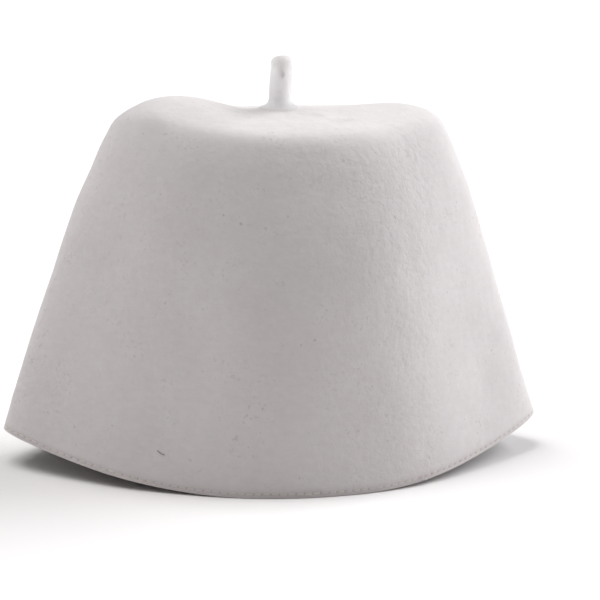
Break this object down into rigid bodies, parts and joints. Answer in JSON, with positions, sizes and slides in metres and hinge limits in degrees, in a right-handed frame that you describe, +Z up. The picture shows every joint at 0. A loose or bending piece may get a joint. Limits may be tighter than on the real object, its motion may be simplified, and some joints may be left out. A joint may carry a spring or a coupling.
{
  "type": "felt fez",
  "caption": "Soft felt fez: a one-piece truncated cone with rounded shoulders, a dented crown and a short felt stem, open below for the head and resting on its rim.",
  "frame": {"origin": "middle of the bounding box on the surface that the rim rests on", "axes": "+X along the long way of the flattened cap, -Y toward the front, +Z up along the stem"},
  "size_m": [0.238, 0.1341, 0.1768],
  "materials": {
    "felt": "light grey fulled wool felt, matt, with a short nap"
  },
  "bodies": {
    "root": {"felt_cap": "felt"}
  },
  "joints": []
}
